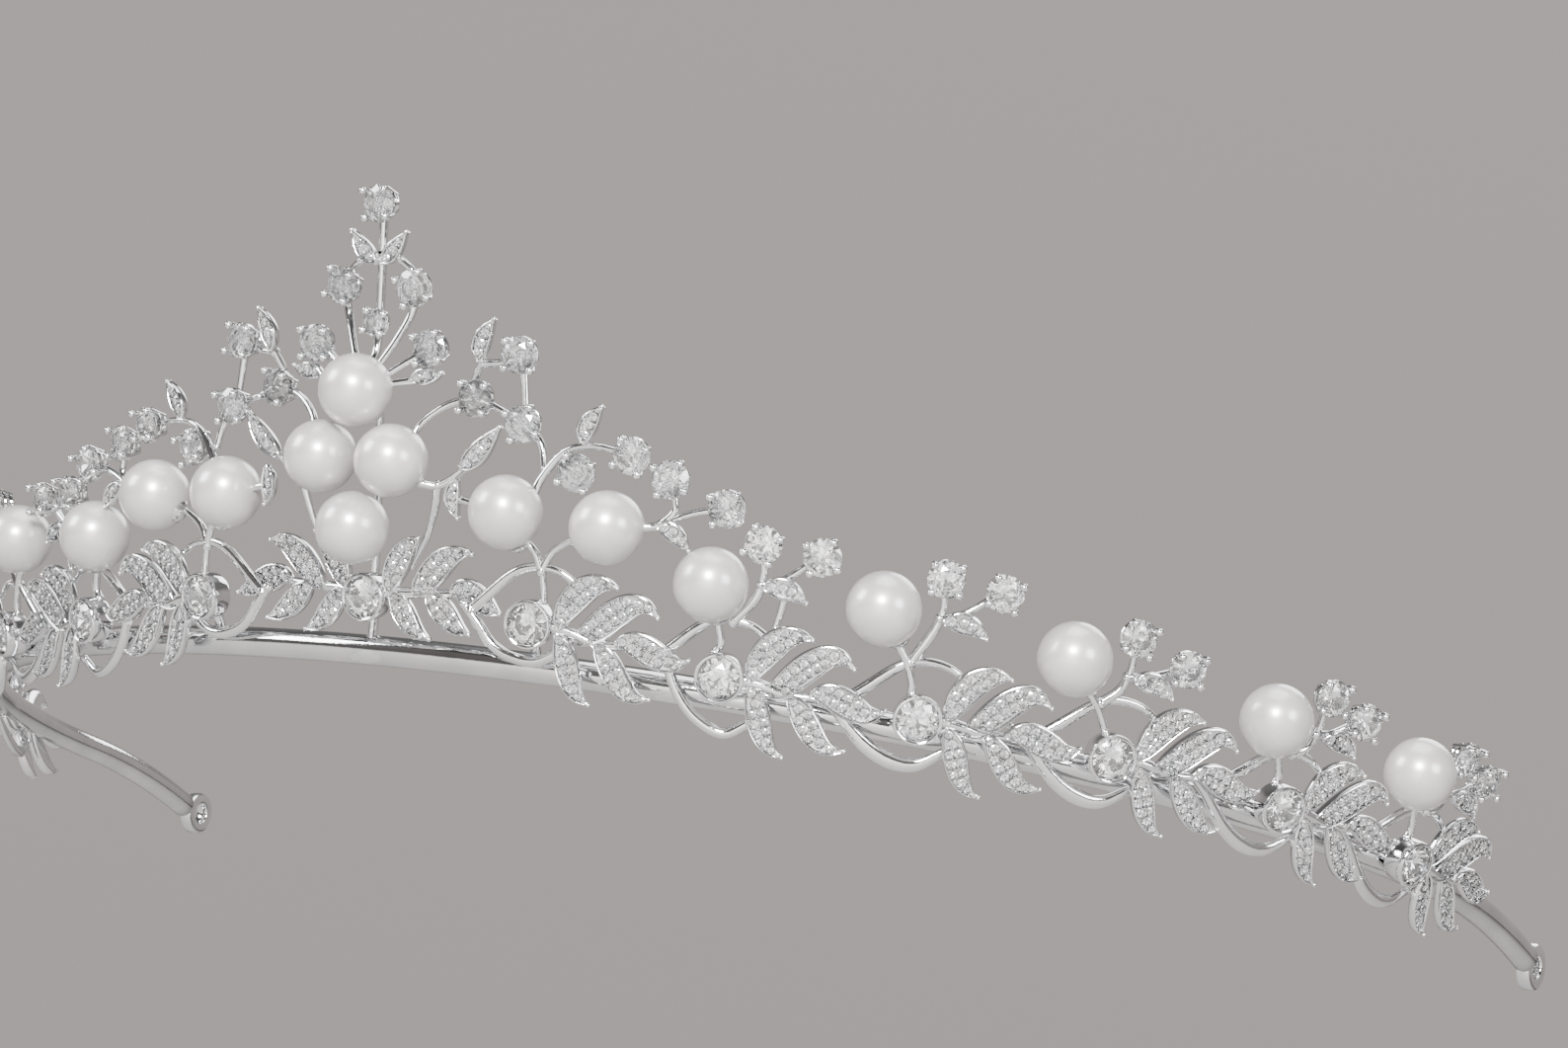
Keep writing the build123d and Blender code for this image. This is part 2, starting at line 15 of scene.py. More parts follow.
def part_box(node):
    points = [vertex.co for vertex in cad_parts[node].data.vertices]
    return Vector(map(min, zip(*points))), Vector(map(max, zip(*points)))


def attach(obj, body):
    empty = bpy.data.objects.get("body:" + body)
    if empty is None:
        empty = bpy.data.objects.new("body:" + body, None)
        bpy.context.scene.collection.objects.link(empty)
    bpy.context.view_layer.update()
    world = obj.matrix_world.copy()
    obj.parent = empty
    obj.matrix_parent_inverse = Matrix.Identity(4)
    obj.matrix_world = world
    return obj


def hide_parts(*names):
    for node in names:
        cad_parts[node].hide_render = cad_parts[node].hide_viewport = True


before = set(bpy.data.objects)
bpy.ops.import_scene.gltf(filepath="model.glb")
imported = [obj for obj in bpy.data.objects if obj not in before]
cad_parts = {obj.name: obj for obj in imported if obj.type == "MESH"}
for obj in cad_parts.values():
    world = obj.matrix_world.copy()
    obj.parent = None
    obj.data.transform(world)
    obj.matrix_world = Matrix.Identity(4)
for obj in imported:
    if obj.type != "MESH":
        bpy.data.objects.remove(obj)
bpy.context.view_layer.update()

MM = 0.001

# The crown's form, as in the CAD model
HEAD_HALF_WIDTH = 75.0
HEAD_HALF_DEPTH = 65.0
CROWN_LEAN = math.radians(21.0)
BAND_RADIUS = 1.25
BAND_SETBACK = 2.5
BAND_BEND_REACH = 108.0
BAND_REACH = 126.0
BAND_END_DROP = 1.8
STATIONS = 6
STATION_PITCH = 15.7
BEZEL_RISES = (4.5, 4.0, 2.0, 1.6, 2.0, 1.7, 1.0)
CENTRE_SETBACK = -1.8
PEARL_RADIUS = 3.0
WIRE_LEVEL = -0.75

# The craftwork's sizes
PAVE_RADIUS = 0.40
PAVE_PITCH = 0.80
BEAD_RADIUS = 0.13
RIM_RADIUS = 0.12
TIP_RADIUS = 0.15
TRAY_LEVEL = 0.16
RIM_LEVEL = 0.46
STONE_RADIUS = 1.55
SMALL_STONE_RADIUS = 1.15
BEZEL_STONE_RADIUS = 1.66
BEZEL_STONE_LEVEL = 0.73
BEZEL_STONE_TURN = 0.3
SOLDER_SHARE = 1.2

# A leaf's blade: half widths where its tray starts to open and is fully open, and where its body is full
TRAY_START = 0.28
TRAY_RUN = 0.3
FULL_HALF_WIDTH = 0.7
SLIM_BODY = 0.55
BODY_GAIN = 0.45
RIM_SHARE = 0.45
LIP = 0.05
BELLY_SKEW = 0.86
BELLY_POWER = 0.72
ROOT_HALF_WIDTH = 0.30
TIP_BEAD_RADIUS = TIP_RADIUS * 1.3

# Its pave stones: a pair where there is room for one, else one stone, with bead claws beside them
PAIR_ROOM = 1.8 * PAVE_RADIUS
SINGLE_ROOM = 0.5 * PAVE_RADIUS
PAIR_STONE_RADIUS = PAVE_RADIUS * 1.1
SINGLE_STONE_RADIUS = PAVE_RADIUS * 1.15
PAIR_FIT = 1.9
PAIR_SPREAD = 0.98
PAVE_START = PAVE_PITCH * 0.75
PAVE_PAVILION = 0.28
PAVE_LEVEL = 0.13
PAVE_WOBBLE = 0.10
GRIP_LEVEL = 0.22
GRIP_SPREAD = 1.8
GRIP_HALF_WIDTH = 0.5

# A claw setting: rings as (radius share, level share, wire), and the claws' wire, bead and hand-made turn
SETTING_RINGS = ((0.60, -0.78, 0.20), (0.86, -0.34, 0.15))
CLAW_RADIUS = 0.25
CLAW_THINNING = 0.04
CLAW_BEAD = (0.99, 0.42)
CLAW_BEAD_RADIUS = 0.33
CLAW_BEAD_FLATNESS = 0.85
CLAW_SPIN = 0.35
CLAW_WOBBLE = 0.12

# A pearl's drilled hole, the hole's edge, and how far from round the pearl is
DRILL_RADIUS = 0.48
DRILL_END = -1.2
DRILL_MOUTH_RADIUS = 0.5
DRILL_EDGE = 0.12
PEARL_SWELL = 0.006

# Cut proportions of a round brilliant, as fractions of its radius
TABLE_SHARE = 0.56
STAR_SHARE = 0.77
MAIN_SHARE = 0.33
CROWN_HEIGHT = 0.31
STAR_HEIGHT = 0.19
GIRDLE_HEIGHT = 0.03
MAIN_DEPTH = 0.70
PAVILION_DEPTH = 0.86

# How finely the round things are drawn
WIRE_SIDES = 12
WIRE_STEPS = 8
CLAW_SIDES = 10
CLAW_STEPS = 4
RING_SIDES = 28
RING_WIRE_SIDES = 8
BAND_SIDES = 28
BAND_STEPS = 320
PEARL_SIDES = 64
PEARL_ROWS = 40

# A wire whose run has less than this share along the crown is taken to point straight off it
STEEP = 0.2

# ---------------------------------------------------------------- the flat design and its wrapping

ARC_STEP = 0.25


def head_angles():
    """The ellipse's angle from the front at each ARC_STEP of the way round it."""
    angles = [0.0]
    while len(angles) * ARC_STEP < BAND_REACH:
        angle = angles[-1]
        for _ in range(4):
            run = math.hypot(HEAD_HALF_WIDTH * math.cos(angle), HEAD_HALF_DEPTH * math.sin(angle))
            angle += ARC_STEP / 4 / run
        angles.append(angle)
    return angles


HEAD_ANGLES = head_angles()


def foot_and_outward(s):
    """The point of the head line at s, and the level direction away from the head there."""
    place = min(abs(s) / ARC_STEP, len(HEAD_ANGLES) - 1.001)
    low = int(place)
    angle = HEAD_ANGLES[low] + (HEAD_ANGLES[low + 1] - HEAD_ANGLES[low]) * (place - low)
    angle = math.copysign(angle, s)
    foot = Vector((HEAD_HALF_WIDTH * math.sin(angle), -HEAD_HALF_DEPTH * math.cos(angle), 0.0))
    outward = Vector((HEAD_HALF_DEPTH * math.sin(angle), -HEAD_HALF_WIDTH * math.cos(angle), 0.0))
    return foot, outward.normalized()


def spot(s, h, out=0.0):
    """A point of the flat design wrapped onto the crown, in metres."""
    foot, outward = foot_and_outward(s)
    away = h * math.sin(CROWN_LEAN) + out * math.cos(CROWN_LEAN)
    up = h * math.cos(CROWN_LEAN) - out * math.sin(CROWN_LEAN)
    return (foot + outward * away + Vector((0.0, 0.0, up))) * MM


def seat(s, h, out=0.0, tilt=(0.0, 0.0), spin=0.0):
    """The frame of a setting: x along the band, y up the lean, z off the crown, in millimetres."""
    _, outward = foot_and_outward(s)
    facing = outward * math.cos(CROWN_LEAN) - Vector((0.0, 0.0, math.sin(CROWN_LEAN)))
    along = Vector((-outward.y, outward.x, 0.0))
    up = facing.cross(along)
    axes = Matrix((along, up, facing)).transposed().to_4x4()
    tilted = Matrix.Rotation(tilt[0], 4, "X") @ Matrix.Rotation(tilt[1], 4, "Y")
    turns = tilted @ Matrix.Rotation(spin, 4, "Z")
    return Matrix.Translation(spot(s, h, out)) @ axes @ turns @ Matrix.Scale(MM, 4)


def curve_through(points, steps):
    """Points along a smooth line through the given points, steps to each stretch."""
    points = [Vector(point) for point in points]
    before = [2 * points[0] - points[1], *points]
    chain = [*before, 2 * points[-1] - points[-2]]
    line = []
    for first, start, end, last in zip(chain, chain[1:], chain[2:], chain[3:]):
        for step in range(steps):
            t = step / steps
            line.append(
                0.5
                * (
                    2 * start
                    + (end - first) * t
                    + (2 * first - 5 * start + 4 * end - last) * t**2
                    + (3 * start - first - 3 * end + last) * t**3
                )
            )
    line.append(points[-1])
    return line


def bezier(points, t):
    """The point of a cubic Bezier curve at t, and its direction there."""
    a, b, c, d = points
    u = 1 - t
    place = a * u**3 + b * (3 * u**2 * t) + c * (3 * u * t**2) + d * t**3
    run = (b - a) * (3 * u**2) + (c - b) * (6 * u * t) + (d - c) * (3 * t**2)
    return place, run.normalized()


# ---------------------------------------------------------------- mesh work


class Shell:
    """The points and faces of one piece, collected before its mesh is made."""

    def __init__(self):
        self.points = []
        self.faces = []

    def add(self, points, faces):
        """Take in points and faces that count from zero."""
        first = len(self.points)
        self.points += points
        self.faces += [[first + corner for corner in face] for face in faces]

    def rings(self, rings):
        """Skin a row of rings of equal length and close its two ends."""
        count = len(rings[0])
        faces = []
        for row in range(len(rings) - 1):
            for i in range(count):
                j = (i + 1) % count
                low, high = row * count, (row + 1) * count
                faces.append([low + i, low + j, high + j, high + i])
        last = (len(rings) - 1) * count
        faces.append(list(range(count - 1, -1, -1)))
        faces.append([last + i for i in range(count)])
        self.add([point for ring in rings for point in ring], faces)


def lathe(shell, profile, place, sides):
    """Turn a closed profile of (radius, height) about the z axis of place. Radius 0 makes a pole."""
    points = []
    starts = []
    for radius, height in profile:
        starts.append(len(points))
        if radius == 0:
            points.append(place @ Vector((0.0, 0.0, height)))
            continue
        for i in range(sides):
            turn = math.tau * i / sides
            points.append(place @ Vector((radius * math.cos(turn), radius * math.sin(turn), height)))
    faces = []
    pairs = list(zip(range(len(profile)), range(1, len(profile))))
    if profile[0][0] > 0:
        pairs.append((len(profile) - 1, 0))
    for low, high in pairs:
        for i in range(sides):
            j = (i + 1) % sides
            low_pole = profile[low][0] == 0
            high_pole = profile[high][0] == 0
            if low_pole and high_pole:
                continue
            if low_pole:
                faces.append([starts[low], starts[high] + j, starts[high] + i])
            elif high_pole:
                faces.append([starts[low] + i, starts[low] + j, starts[high]])
            else:
                faces.append([starts[low] + i, starts[low] + j, starts[high] + j, starts[high] + i])
    shell.add(points, faces)


def ball(shell, centre, radius, sides=12, flat=1.0, place=None):
    """A small round bead, squashed along z by flat."""
    rows = sides // 2
    profile = []
    for row in range(rows + 1):
        angle = math.pi * row / rows
        distance = radius * math.sin(angle) if 0 < row < rows else 0.0
        profile.append((distance, -radius * flat * math.cos(angle)))
    if place is None:
        place = Matrix.Translation(centre) @ Matrix.Scale(MM, 4)
    else:
        place = place @ Matrix.Translation(centre)
    lathe(shell, profile, place, sides)


def ring_of(shell, place, radius, height, thickness):
    """A round wire ring about the z axis of place."""
    turns = [math.tau * i / RING_WIRE_SIDES for i in range(RING_WIRE_SIDES)]
    profile = [(radius + thickness * math.cos(turn), height + thickness * math.sin(turn)) for turn in turns]
    lathe(shell, profile, place, RING_SIDES)


def between(values, share):
    """The number at a share of the way along a row of numbers."""
    place = min(share * (len(values) - 1), len(values) - 1.0001)
    low = int(place)
    return values[low] + (values[low + 1] - values[low]) * (place - low)


def tube(shell, line, radii, depth=1.0):
    """A drawn wire along a line of the flat design, depth times as thick off the crown as along it."""
    rings = []
    last = len(line) - 1
    for i, place in enumerate(line):
        run = (line[min(i + 1, last)] - line[max(i - 1, 0)]).normalized()
        across = Vector((-run.y, run.x, 0.0))
        if across.length < STEEP:
            across = Vector((1.0, 0.0, 0.0))
        across.normalize()
        off = run.cross(across)
        radius = between(radii, i / last)
        rings.append(
            [
                spot(*(place + across * (radius * math.cos(turn)) + off * (radius * depth * math.sin(turn))))
                for turn in (math.tau * k / WIRE_SIDES for k in range(WIRE_SIDES))
            ]
        )
    shell.rings(rings)


def wire(shell, places, radii=(0.32, 0.32), depth=1.0):
    """A wire through the places, with a little solder where it starts and ends."""
    line = curve_through(places, WIRE_STEPS)
    tube(shell, line, radii, depth)
    for end, radius in ((line[0], radii[0]), (line[-1], radii[-1])):
        ball(shell, spot(*end), radius * SOLDER_SHARE, 10, min(1.0, depth))


def brilliant(shell, radius, place, pavilion=PAVILION_DEPTH):
    """A round brilliant: table, stars, kites and halves over a girdle, mains and halves under it."""
    points = []
    rings = []
    for share, level, count, offset in (
        (TABLE_SHARE, CROWN_HEIGHT, 8, 0.0),
        (STAR_SHARE, STAR_HEIGHT, 8, 0.5),
        (1.0, GIRDLE_HEIGHT, 16, 0.0),
        (1.0, -GIRDLE_HEIGHT, 16, 0.0),
        (MAIN_SHARE, -MAIN_DEPTH * pavilion, 8, 0.5),
    ):
        rings.append(len(points))
        distance = share * radius
        for i in range(count):
            turn = math.tau * (i + offset) / count
            corner = Vector((distance * math.cos(turn), distance * math.sin(turn), level * radius))
            points.append(place @ corner)
    culet = len(points)
    points.append(place @ Vector((0.0, 0.0, -pavilion * radius)))
    tab, mid, top, low, pav = rings
    faces = [[tab + i for i in range(8)]]
    for i in range(8):
        j = (i + 1) % 8
        before = (i - 1) % 8
        faces.append([tab + i, mid + i, tab + j])
        faces.append([tab + i, mid + before, top + 2 * i, mid + i])
        faces.append([mid + i, top + 2 * i, top + 2 * i + 1])
        faces.append([mid + i, top + 2 * i + 1, top + (2 * i + 2) % 16])
        faces.append([low + 2 * i + 1, low + 2 * i, pav + i])
        faces.append([low + (2 * i + 2) % 16, low + 2 * i + 1, pav + i])
        faces.append([low + 2 * i, pav + before, culet, pav + i])
    for i in range(16):
        j = (i + 1) % 16
        faces.append([top + i, low + i, low + j, top + j])
    shell.add(points, faces)


# ---------------------------------------------------------------- the craftwork


def blade_section(half):
    """Half a blade's outline from its back's middle round to its tray's middle, for a half width."""
    rim = min(RIM_RADIUS, half * RIM_SHARE)
    open_share = min(1.0, max(0.0, (half - TRAY_START) / TRAY_RUN))
    body = SLIM_BODY + BODY_GAIN * min(1.0, half / FULL_HALF_WIDTH)
    floor = RIM_LEVEL - LIP + (TRAY_LEVEL - RIM_LEVEL + LIP) * open_share
    outline = [
        (0.0, -0.50),
        (0.55 * half, -0.44),
        (0.88 * half, -0.30),
        (half, -0.10),
        (half, 0.24),
        (half - 0.12 * rim, 0.36),
        (half - 0.5 * rim, RIM_LEVEL),
        (half - rim, RIM_LEVEL + 0.03),
        (half - 1.5 * rim, RIM_LEVEL - 0.01),
        (half - 1.85 * rim, RIM_LEVEL - 0.10 * open_share),
        (half - 2.0 * rim, floor + 0.05 * open_share),
        (0.45 * (half - 2.0 * rim), floor),
    ]
    return [(x, z * body) for x, z in outline], floor * body


def leaf_half_width(width, t):
    """Half a leaf's width: a slim root, a full belly, and a narrow tip."""
    belly = math.sin(math.pi * min(1.0, t**BELLY_SKEW)) ** BELLY_POWER if t < 1 else 0.0
    root = ROOT_HALF_WIDTH * (1 - t)
    return max(width / 2 * belly, root, TIP_RADIUS)


def leaf(metal, stones, spine, width, out=0.0, lift=(0.0, 0.0), steps=34):
    """A paved leaf: a raised rim round a tray, stones two abreast where it is wide, and bead claws."""
    spine = [Vector((x, y)) for x, y in spine]
    rings = []
    length = 0.0
    marks = []
    for i in range(steps + 1):
        t = i / steps
        centre, run = bezier(spine, t)
        across = Vector((-run.y, run.x))
        half = leaf_half_width(width, t)
        level = out + lift[0] * (1 - t) ** 2 + lift[1] * t**2
        side, floor = blade_section(half)
        middle = (0.0, floor)
        section = [*side, middle, *((-x, z) for x, z in reversed(side[1:]))]
        rings.append([spot(*(centre + across * x), level + z) for x, z in section])
        if marks:
            length += (centre - marks[-1][1]).length
        marks.append((length, centre, across, half, level, floor))
    metal.rings(rings)
    _, tip, _, _, tip_level, _ = marks[-1]
    ball(metal, spot(*tip, tip_level + GRIP_LEVEL), TIP_BEAD_RADIUS)
    place = PAVE_START
    while place < length:
        mark = next(mark for mark in marks if mark[0] >= place)
        _, centre, across, half, level, floor = mark
        room = half - 1.5 * RIM_RADIUS
        if room > PAIR_ROOM:
            sides = (1, -1)
            grips = (GRIP_SPREAD, 0, -GRIP_SPREAD)
            size = min(PAIR_STONE_RADIUS, room / PAIR_FIT)
        elif room > SINGLE_ROOM:
            sides = (0,)
            grips = (1, -1)
            size = min(SINGLE_STONE_RADIUS, room)
        else:
            sides = ()
            grips = ()
            size = 0.0
        for side in sides:
            where = centre + across * (side * size * PAIR_SPREAD)
            here = seat(*where, level + floor + PAVE_LEVEL, wobble(PAVE_WOBBLE), random.uniform(0, math.tau))
            brilliant(stones, size, here, PAVE_PAVILION)
        ahead = Vector((across.y, -across.x)) * (PAVE_PITCH / 2)
        for side in grips:
            grip = centre + ahead + across * (side * size)
            if abs(side) * size < room and half > GRIP_HALF_WIDTH:
                ball(metal, spot(*grip, level + floor + GRIP_LEVEL), BEAD_RADIUS, 8)
        place += PAVE_PITCH


def wobble(amount):
    """A small hand-made tilt."""
    return random.uniform(-amount, amount), random.uniform(-amount, amount)


def bezel(metal, stones, place):
    """A rimmed cup with its stone."""
    here = seat(*place)
    profile = [
        (0.80, -1.05),
        (1.55, -1.08),
        (1.80, -0.98),
        (1.93, -0.70),
        (1.97, 0.20),
        (2.00, 0.80),
        (1.98, 0.98),
        (1.91, 1.07),
        (1.81, 1.09),
        (1.72, 1.04),
        (1.67, 0.92),
        (1.66, 0.66),
        (1.50, 0.50),
        (0.95, -0.30),
        (0.80, -0.60),
    ]
    lathe(metal, profile, here, 56)
    lifted = here @ Matrix.Translation((0.0, 0.0, BEZEL_STONE_LEVEL))
    brilliant(stones, BEZEL_STONE_RADIUS, lifted @ Matrix.Rotation(BEZEL_STONE_TURN, 4, "Z"))


# A claw's bend from its ring to its bead: the way out and the way up, as fractions of the stone's radius
CLAW_STOPS = (
    (0.58, -0.92),
    (0.80, -0.45),
    (1.02, 0.0),
    (1.07, 0.22),
    (0.98, 0.40),
)


def claw_setting(metal, stones, place, radius=STONE_RADIUS):
    """A stone held over a ring and a gallery by four bent claws that end in beads."""
    spin = random.uniform(-CLAW_SPIN, CLAW_SPIN) + math.pi / 4
    here = seat(*place, tilt=wobble(CLAW_WOBBLE), spin=spin)
    for reach, rise, thickness in SETTING_RINGS:
        ring_of(metal, here, reach * radius, rise * radius, thickness)
    bead_reach, bead_rise = CLAW_BEAD
    for quarter in range(4):
        turn = math.pi / 2 * quarter
        side = Vector((math.cos(turn), math.sin(turn), 0.0))
        stops = [side * (reach * radius) + Vector((0, 0, rise * radius)) for reach, rise in CLAW_STOPS]
        line = curve_through(stops, CLAW_STEPS)
        rings = []
        last = len(line) - 1
        for i, point in enumerate(line):
            run = (line[min(i + 1, last)] - line[max(i - 1, 0)]).normalized()
            first = Vector((-side.y, side.x, 0.0))
            second = run.cross(first)
            thick = CLAW_RADIUS - CLAW_THINNING * math.sin(math.pi * i / last)
            rings.append(
                [
                    here @ (point + first * (thick * math.cos(a)) + second * (thick * math.sin(a)))
                    for a in (math.tau * k / CLAW_SIDES for k in range(CLAW_SIDES))
                ]
            )
        metal.rings(rings)
        bead = side * (bead_reach * radius) + Vector((0, 0, bead_rise * radius))
        ball(metal, bead, CLAW_BEAD_RADIUS, 14, CLAW_BEAD_FLATNESS, here)
    brilliant(stones, radius, here)


def pearl(nacre, metal, place, root):
    """A drilled pearl glued on the peg of a shallow cup, which faces away from root."""
    centre = spot(*place)
    axis = (centre - spot(*root)).normalized()
    turn = axis.to_track_quat("Z", "Y").to_matrix().to_4x4()
    here = Matrix.Translation(centre) @ turn @ Matrix.Scale(MM, 4)
    start = math.asin(DRILL_MOUTH_RADIUS / PEARL_RADIUS)
    mouth = -PEARL_RADIUS * math.cos(start) + DRILL_EDGE
    profile = [(0.0, DRILL_END), (DRILL_RADIUS, DRILL_END), (DRILL_RADIUS, mouth)]
    for row in range(PEARL_ROWS + 1):
        angle = start + (math.pi - start) * row / PEARL_ROWS
        swell = 1.0 + PEARL_SWELL * math.sin(3 * angle)
        distance = PEARL_RADIUS * math.sin(angle) * swell if row < PEARL_ROWS else 0.0
        profile.append((distance, -PEARL_RADIUS * math.cos(angle) * swell))
    lathe(nacre, profile, here, PEARL_SIDES)
    cup = [
        (0.0, -3.38),
        (0.42, -3.36),
        (0.68, -3.22),
        (0.90, -3.02),
        (0.99, -2.90),
        (0.86, -2.94),
        (0.44, -3.02),
        (0.44, -1.3),
        (0.0, -1.3),
    ]
    lathe(metal, cup, here, 32)


# ---------------------------------------------------------------- materials


def new_material(name, **sockets):
    """A material whose Principled shader has the given sockets set on itself."""
    material = bpy.data.materials.new(name)
    material.use_nodes = True
    shader = material.node_tree.nodes["Principled BSDF"]
    for socket, value in sockets.items():
        shader.inputs[socket.replace("_", " ")].default_value = value
    return material, material.node_tree, shader


def add_noise(tree, scale, detail=3.0):
    """A noise texture in the frame's own metres, scale features to the metre."""
    place = tree.nodes.new("ShaderNodeTexCoord")
    noise = tree.nodes.new("ShaderNodeTexNoise")
    noise.inputs["Scale"].default_value = scale
    noise.inputs["Detail"].default_value = detail
    tree.links.new(place.outputs["Object"], noise.inputs["Vector"])
    return noise


def add_ramp(tree, source, stops):
    """A colour ramp from a factor."""
    ramp = tree.nodes.new("ShaderNodeValToRGB")
    ramp.color_ramp.elements[0].position = stops[0][0]
    ramp.color_ramp.elements[0].color = (*stops[0][1], 1.0)
    ramp.color_ramp.elements[1].position = stops[-1][0]
    ramp.color_ramp.elements[1].color = (*stops[-1][1], 1.0)
    for position, colour in stops[1:-1]:
        ramp.color_ramp.elements.new(position).color = (*colour, 1.0)
    tree.links.new(source, ramp.inputs["Fac"])
    return ramp


def add_range(tree, source, low, high, start=0.0, end=1.0):
    """Map a factor that runs from start to end to a range of numbers."""
    span = tree.nodes.new("ShaderNodeMapRange")
    span.inputs["From Min"].default_value = start
    span.inputs["From Max"].default_value = end
    span.inputs["To Min"].default_value = low
    span.inputs["To Max"].default_value = high
    tree.links.new(source, span.inputs["Value"])
    return span.outputs["Result"]


def add_bump(tree, shader, source, distance):
    """Raise the surface by a height in metres."""
    bump = tree.nodes.new("ShaderNodeBump")
    bump.inputs["Distance"].default_value = distance
    bump.inputs["Strength"].default_value = 1.0
    tree.links.new(source, bump.inputs["Height"])
    tree.links.new(bump.outputs["Normal"], shader.inputs["Normal"])


def plated_metal(name, hollow_shade, rough, grain):
    """Bright rhodium plate: slightly uneven in tint and polish, with painted shade that darkens its hollows.
    """
    material, tree, shader = new_material(name, Metallic=1.0)
    cloud = add_noise(tree, 260.0)
    fine = add_noise(tree, grain, 5.0)
    tint = add_ramp(tree, cloud.outputs["Fac"], ((0.3, (0.70, 0.705, 0.72)), (0.7, (0.85, 0.85, 0.86))))
    # Painted shade: the base colour is multiplied darker where the surface is hollow, read from its
    # pointiness.
    geometry = tree.nodes.new("ShaderNodeNewGeometry")
    shade = ((0.44, (hollow_shade, hollow_shade, hollow_shade)), (0.50, (1.0, 1.0, 1.0)))
    hollow = add_ramp(tree, geometry.outputs["Pointiness"], shade)
    mix = tree.nodes.new("ShaderNodeMix")
    mix.data_type = "RGBA"
    mix.blend_type = "MULTIPLY"
    mix.inputs["Factor"].default_value = 1.0
    tree.links.new(tint.outputs["Color"], mix.inputs["A"])
    tree.links.new(hollow.outputs["Color"], mix.inputs["B"])
    tree.links.new(mix.outputs["Result"], shader.inputs["Base Color"])
    tree.links.new(add_range(tree, fine.outputs["Fac"], rough * 0.5, rough * 1.6), shader.inputs["Roughness"])
    add_bump(tree, shader, fine.outputs["Fac"], 0.000012)
    return material


def pearl_nacre():
    """White imitation pearl: a satin body under a soft clear lustre."""
    material, tree, shader = new_material(
        "pearl_nacre",
        Metallic=0.32,
        IOR=1.55,
        Coat_Weight=1.0,
        Coat_Roughness=0.20,
        Coat_IOR=1.85,
        Sheen_Weight=0.08,
        Sheen_Roughness=0.35,
        Sheen_Tint=(1.0, 0.86, 0.84, 1.0),
    )
    cloud = add_noise(tree, 320.0)
    body = add_ramp(tree, cloud.outputs["Fac"], ((0.35, (0.44, 0.425, 0.42)), (0.65, (0.50, 0.48, 0.47))))
    tree.links.new(body.outputs["Color"], shader.inputs["Base Color"])
    skin = add_noise(tree, 900.0)
    add_bump(tree, shader, skin.outputs["Fac"], 0.000006)
    tree.links.new(add_range(tree, skin.outputs["Fac"], 0.32, 0.42), shader.inputs["Roughness"])
    return material


def clear_stone():
    """Cubic zirconia: nearly clear, strongly refracting, with a little white and faint tints."""
    material, tree, shader = new_material("clear_stone", Roughness=0.0, IOR=2.15, Transmission_Weight=0.97)
    cloud = add_noise(tree, 500.0)
    tint = add_ramp(tree, cloud.outputs["Fac"], ((0.3, (0.93, 0.96, 1.0)), (0.7, (1.0, 0.99, 0.98))))
    tree.links.new(tint.outputs["Color"], shader.inputs["Base Color"])
    return material


# Each metal's second number is how dark the painted shade in its hollows goes.
MATERIALS = {
    "band_metal": plated_metal("polished_band", 0.55, 0.07, 1800.0),
    "frame_metal": plated_metal("drawn_wire", 0.55, 0.08, 2400.0),
    "pave_metal": plated_metal("cast_leaf", 0.85, 0.12, 3200.0),
    "setting_metal": plated_metal("setting_plate", 0.70, 0.06, 2600.0),
    "pearls": pearl_nacre(),
    "stones": clear_stone(),
}


def piece(shell, node, slot, sharp=38.0):
    """Make the mesh of one piece, which stands for a CAD node and rides with the tiara's one body."""
    mesh = bpy.data.meshes.new(f"{node}_look")
    mesh.from_pydata(shell.points, [], shell.faces)
    mesh.validate()
    mesh.update()
    mesh.shade_smooth()
    mesh.set_sharp_from_angle(angle=math.radians(sharp))
    made = bpy.data.objects.new(f"{node}_look", mesh)
    bpy.context.scene.collection.objects.link(made)
    mesh.materials.append(MATERIALS[slot])
    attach(made, "root")
    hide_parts(node)
    return made


# ---------------------------------------------------------------- the garland's design

# Each leaf of a spray, from its bezel: four points of a curve, then its width and its lift at each end
SPRAY_LEAVES = (
    (((2.3, 0.1), (2.7, 2.6), (4.0, 5.1), (6.4, 4.6)), 2.35, (0.1, 0.3)),
    (((3.6, -0.5), (5.7, 0.1), (7.3, 5.6), (10.0, 3.1)), 2.45, (-0.2, 0.2)),
    (((7.1, 0.1), (9.0, 1.7), (11.3, -1.3), (13.1, 0.5)), 2.35, (0.0, 0.1)),
    (((2.2, -0.3), (3.7, -1.2), (3.6, -4.7), (6.1, -5.1)), 2.0, (0.1, 0.3)),
    (((5.3, -0.3), (7.2, -0.8), (8.0, -4.4), (10.8, -3.4)), 2.1, (-0.1, 0.2)),
)
CENTRE_SPRAY_LEAVES = (
    (((2.0, 0.4), (2.5, 2.4), (3.5, 4.4), (4.9, 5.1)), 2.2, (0.1, 0.3)),
    (((4.3, 0.5), (5.8, 1.4), (7.0, 4.7), (9.7, 4.2)), 2.35, (0.0, 0.2)),
    (((7.8, 0.9), (9.2, 2.0), (10.9, 0.1), (12.7, -0.2)), 2.3, (0.0, 1.0)),
    (((2.1, 0.5), (3.4, -0.2), (3.8, -2.5), (6.1, -3.0)), 2.0, (0.0, 0.3)),
    (((5.5, 0.5), (6.9, 0.2), (7.8, -1.9), (9.9, -2.2)), 2.1, (0.0, 0.6)),
)
SPRAY_STEM = ((1.8, 0.1), (3.4, 0.0), (5.4, -0.25), (8.6, 0.2))
CENTRE_SPRAY_STEM = ((1.8, 0.4), (3.4, 0.5), (5.6, 0.6), (9.0, 0.9))
ARCH = ((-5.6, 0.4), (-4.4, 1.5), (-2.2, 3.6), (-0.4, 4.4), (1.6, 4.3), (3.2, 3.5))
SCROLL = ((-8.2, 0.4), (-6.4, -0.8), (-3.8, -2.9), (-1.4, -3.9), (0.8, -3.8), (2.8, -2.3))
